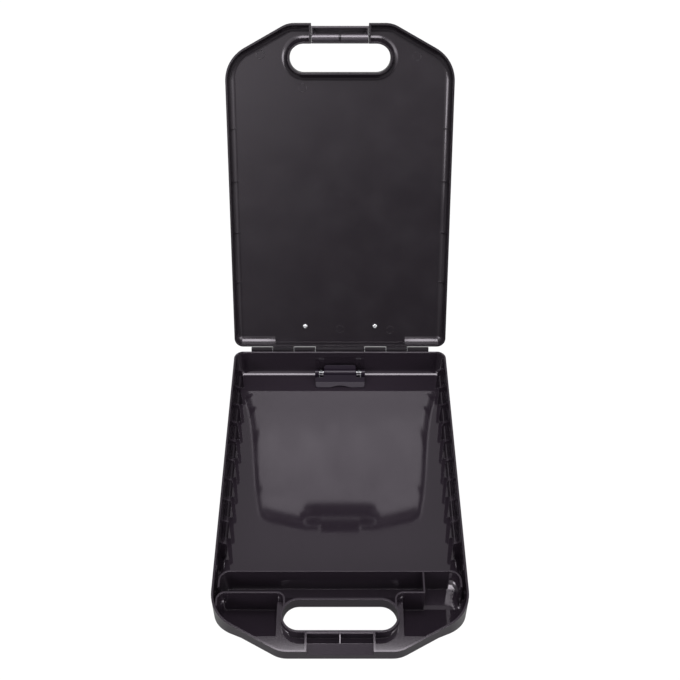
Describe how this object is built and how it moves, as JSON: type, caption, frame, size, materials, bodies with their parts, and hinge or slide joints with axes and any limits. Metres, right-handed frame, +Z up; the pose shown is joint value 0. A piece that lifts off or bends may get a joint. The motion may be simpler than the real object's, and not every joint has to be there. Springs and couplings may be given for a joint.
{
  "type": "storage clipboard box",
  "caption": "Storage clipboard box: a shallow moulded tray under a hinged writing lid, with spring paper clips, a pen trough and a carrying handle with a latch.",
  "frame": {"origin": "middle of the case's length and width on the tray's flat underside, where it rests", "axes": "+Z up; +Y from the handle end to the hinge; +X to the right seen from the handle end"},
  "size_m": [0.2686, 0.5929, 0.4001],
  "materials": {
    "case_plastic": "gloss charcoal moulding",
    "latch_plastic": "gloss grey moulding",
    "clip_steel": "black enamel on sheet steel",
    "pin_steel": "drawn wire",
    "spring_steel": "drawn spring wire",
    "rivet_steel": "bright plated"
  },
  "bodies": {
    "base": {"base_tray": "case_plastic", "hinge_pin": "pin_steel", "inner_clip_bracket": "clip_steel", "inner_clip_pin": "pin_steel", "inner_clip_rivets": "clip_steel"},
    "lid": {"lid_shell": "case_plastic", "latch_pin_left": "pin_steel", "latch_pin_right": "pin_steel", "outer_clip_bracket": "clip_steel", "outer_clip_pin": "pin_steel", "outer_clip_rivets": "rivet_steel"},
    "latch": {"handle_latch": "latch_plastic"},
    "inner_lever": {"inner_clip_lever": "clip_steel", "inner_clip_spring_left": "spring_steel", "inner_clip_spring_right": "spring_steel"},
    "outer_lever": {"outer_clip_lever": "clip_steel", "outer_clip_spring": "spring_steel"}
  },
  "joints": [
    {"name": "lid_hinge", "type": "hinge", "parent": "base", "child": "lid", "pos_m": [0, 0.2028, 0.041], "axis": [1, 0, 0], "range_deg": [0, 116.7]},
    {"name": "latch_pivot", "type": "hinge", "parent": "lid", "child": "latch", "pos_m": [0, 0.38406, 0.38538], "axis": [-1, 0, 0], "range_deg": [0, 6]},
    {"name": "inner_clip_pivot", "type": "hinge", "parent": "base", "child": "inner_lever", "pos_m": [0, 0.1858, 0.0154], "axis": [-1, 0, 0], "range_deg": [0, 18], "stiffness_Nm_per_rad": 0.15, "springref_deg": -45.84, "deforming": ["inner_clip_spring_left", "inner_clip_spring_right"]},
    {"name": "outer_clip_pivot", "type": "hinge", "parent": "lid", "child": "outer_lever", "pos_m": [0, 0.23302, 0.05658], "axis": [-1, 0, 0], "range_deg": [0, 30], "stiffness_Nm_per_rad": 0.3, "springref_deg": -45.84, "deforming": ["outer_clip_spring"]}
  ]
}
